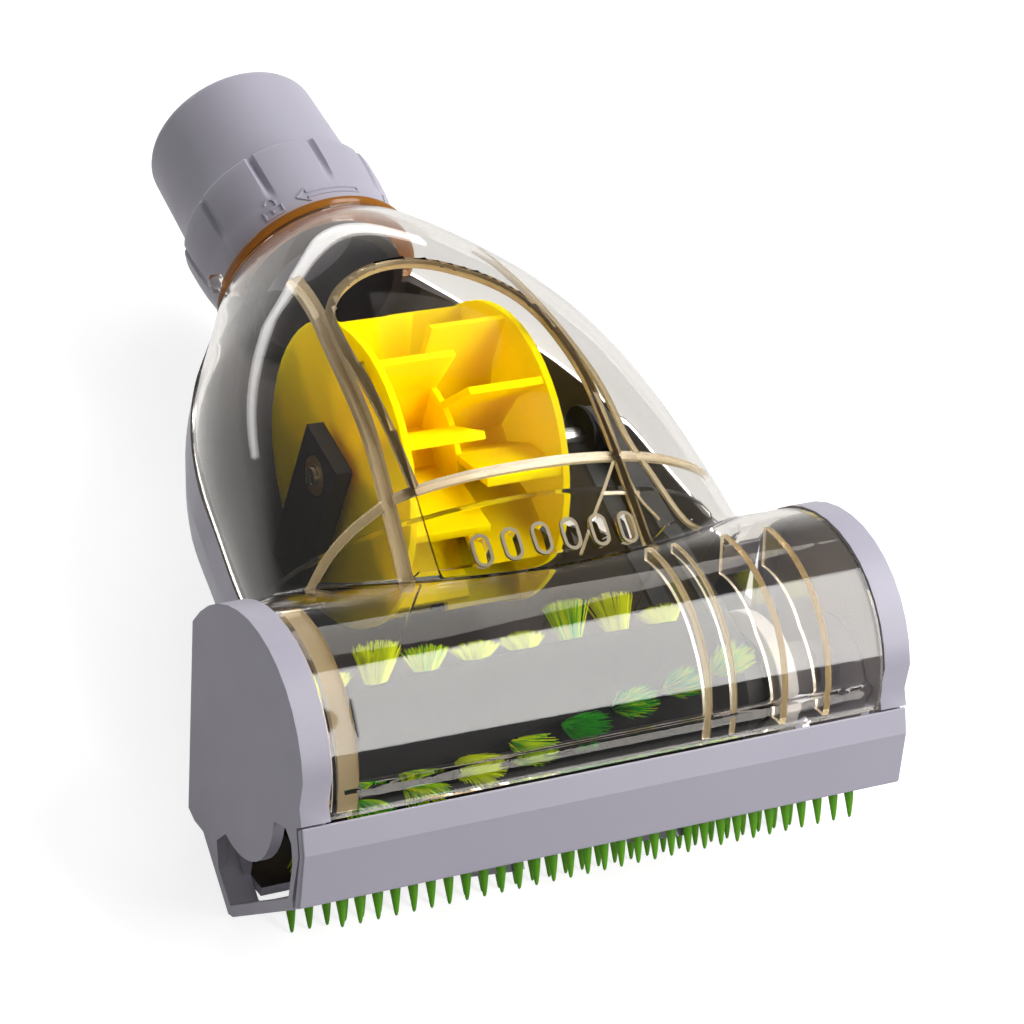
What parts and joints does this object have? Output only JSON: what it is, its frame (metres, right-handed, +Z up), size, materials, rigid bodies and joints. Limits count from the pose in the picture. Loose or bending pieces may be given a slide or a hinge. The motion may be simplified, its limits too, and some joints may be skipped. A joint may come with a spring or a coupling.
{
  "type": "vacuum turbo brush",
  "caption": "Air-driven brush head for a vacuum cleaner: clear domed cover over a turbine and belt, bristled roller behind a bumper, rubber combs, swivelling hose neck.",
  "frame": {"origin": "middle of the box's base, on the plane that the lying head rests on", "axes": "+X across the head, +Y from the brush towards the hose end, +Z up through the clear cover"},
  "size_m": [0.145, 0.2116, 0.0813],
  "materials": {
    "grey_plastic": "satin lavender-grey moulding",
    "clear_plastic": "clear moulded plastic, warm at its edges",
    "amber_seal": "translucent amber",
    "yellow_plastic": "bright yellow moulding",
    "comb_rubber": "green soft rubber",
    "lime_bristle": "lime nylon bristle",
    "green_bristle": "green nylon bristle",
    "roller_core": "dark moulding",
    "belt_rubber": "black rubber",
    "steel": "drawn steel",
    "brass": "sintered bush"
  },
  "bodies": {
    "housing": {"lower_housing": "grey_plastic", "left_end_cap": "grey_plastic", "right_end_cap": "grey_plastic", "front_bumper": "grey_plastic", "sole_plate": "grey_plastic", "front_comb": "comb_rubber", "rear_comb": "comb_rubber", "air_guide": "grey_plastic", "left_roller_bush": "brass", "right_roller_bush": "brass", "left_turbine_bush": "brass", "right_turbine_bush": "brass", "drive_belt": "belt_rubber", "neck_seal_ring": "amber_seal"},
    "roller": {"roller_core": "roller_core", "green_tuft_strip": "green_bristle", "green_tuft_strip_back": "green_bristle", "lime_tuft_strip_front": "lime_bristle", "lime_tuft_strip_back": "lime_bristle", "roller_shaft": "steel", "roller_pulley": "roller_core", "roller_end_collar": "grey_plastic"},
    "turbine": {"turbine_wheel": "yellow_plastic", "turbine_shaft": "steel", "turbine_pulley": "roller_core"},
    "cover": {"clear_cover": "clear_plastic"},
    "neck": {"neck_tube": "grey_plastic"}
  },
  "joints": [
    {"name": "roller_spin", "type": "hinge", "parent": "housing", "child": "roller", "pos_m": [0, -0.07206, 0.03011], "axis": [1, 0, 0], "continuous": true},
    {"name": "turbine_spin", "type": "hinge", "parent": "housing", "child": "turbine", "pos_m": [0, -0.00087, 0.03908], "axis": [1, 0, 0], "continuous": true},
    {"name": "cover_open", "type": "hinge", "parent": "housing", "child": "cover", "pos_m": [0, -0.09617, 0.04413], "axis": [1, 0, 0], "range_deg": [0, 50]},
    {"name": "neck_turn", "type": "hinge", "parent": "housing", "child": "neck", "pos_m": [0, 0.05643, 0.04228], "axis": [0, 1, 0], "range_deg": [0, 45]}
  ],
  "couplings": [
    {"joint": "turbine_spin", "follows": "roller_spin", "ratio": 1.786}
  ]
}
